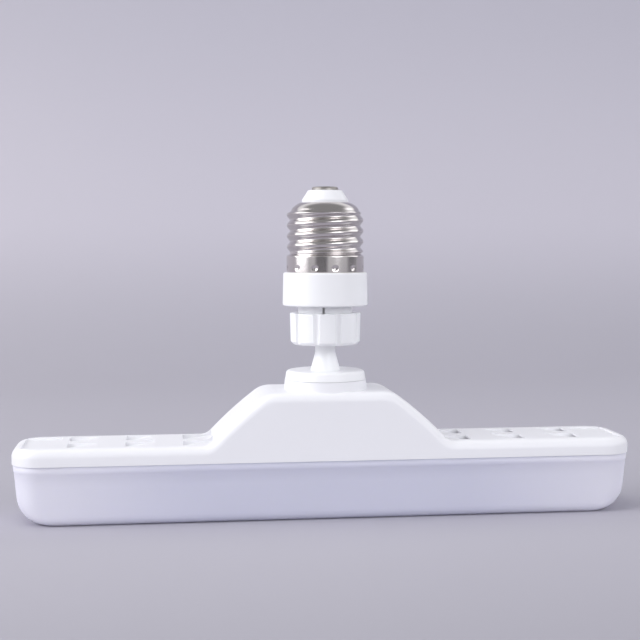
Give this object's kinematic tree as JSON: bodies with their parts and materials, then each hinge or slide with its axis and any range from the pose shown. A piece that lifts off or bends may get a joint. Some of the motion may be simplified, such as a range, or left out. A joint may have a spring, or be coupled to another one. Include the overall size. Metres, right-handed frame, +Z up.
{
  "type": "led t bulb",
  "caption": "T-shaped LED bulb: a wide diffused light panel on a ball-jointed stem below an Edison screw cap.",
  "frame": {"origin": "centre of the diffuser's flat resting face, the bottom of the object", "axes": "+X along the light panel, +Y across it, +Z up towards the screw cap"},
  "size_m": [0.21, 0.032, 0.1116],
  "materials": {
    "nickel_plate": "polished nickel plate",
    "cap_insulator": "gloss white insulator",
    "white_plastic": "semi-gloss moulded white plastic",
    "friction_ring": "satin",
    "spring_steel": "satin",
    "diffuser": "milky translucent plastic",
    "board_metal": "white solder mask on aluminium",
    "led_chip": "yellow phosphor",
    "screw_steel": "zinc plated",
    "board_laminate": "green solder mask",
    "black_plastic": "moulded epoxy",
    "capacitor_sleeve": "shrink sleeve",
    "ferrite": "ferrite",
    "film_box": "yellow box",
    "resistor_body": "coated",
    "lead_brown": "insulated lead",
    "lead_blue": "insulated lead",
    "lead_red": "insulated lead",
    "lead_black": "insulated lead"
  },
  "bodies": {
    "cap": {"screw_shell": "nickel_plate", "cap_insulator": "cap_insulator", "centre_contact": "nickel_plate", "collar_socket": "white_plastic", "cap_live_lead": "lead_brown", "cap_neutral_lead": "lead_blue"},
    "seat": {"seat_ring": "friction_ring"},
    "stem": {"ball_stem": "white_plastic", "stem_retainer": "spring_steel"},
    "panel": {"housing": "white_plastic", "diffuser": "diffuser", "led_board": "board_metal", "led_chips": "led_chip", "led_board_screws": "screw_steel", "driver_board": "board_laminate", "driver_board_screws": "screw_steel", "bridge_rectifier": "black_plastic", "input_capacitor": "capacitor_sleeve", "output_capacitor": "capacitor_sleeve", "inductor": "ferrite", "driver_ic": "black_plastic", "film_capacitor": "film_box", "fuse_resistor": "resistor_body", "driver_live_lead": "lead_brown", "driver_neutral_lead": "lead_blue", "dc_positive_lead": "lead_red", "dc_negative_lead": "lead_black"},
    "clamp": {"clamp_ring": "friction_ring"},
    "nut": {"lock_nut": "white_plastic"}
  },
  "joints": [
    {"name": "ball_swivel", "type": "hinge", "parent": "cap", "child": "seat", "pos_m": [0, 0, 0.0644], "axis": [0, 0, 1], "range_deg": [-180, 180]},
    {"name": "ball_tilt", "type": "hinge", "parent": "seat", "child": "stem", "pos_m": [0, 0, 0.0644], "axis": [1, 0, 0], "range_deg": [-30, 30]},
    {"name": "panel_turn", "type": "hinge", "parent": "stem", "child": "panel", "pos_m": [0, 0, 0.0461], "axis": [0, 0, 1], "range_deg": [-180, 180]},
    {"name": "nut_travel", "type": "slide", "parent": "cap", "child": "clamp", "axis": [0, 0, -1], "range_m": [0, 0.00076]},
    {"name": "nut_turn", "type": "hinge", "parent": "clamp", "child": "nut", "pos_m": [0, 0, 0.0634], "axis": [0, 0, -1], "range_deg": [0, 180]}
  ],
  "couplings": [
    {"joint": "nut_travel", "follows": "nut_turn", "m_per_rad": 0.00023873}
  ]
}
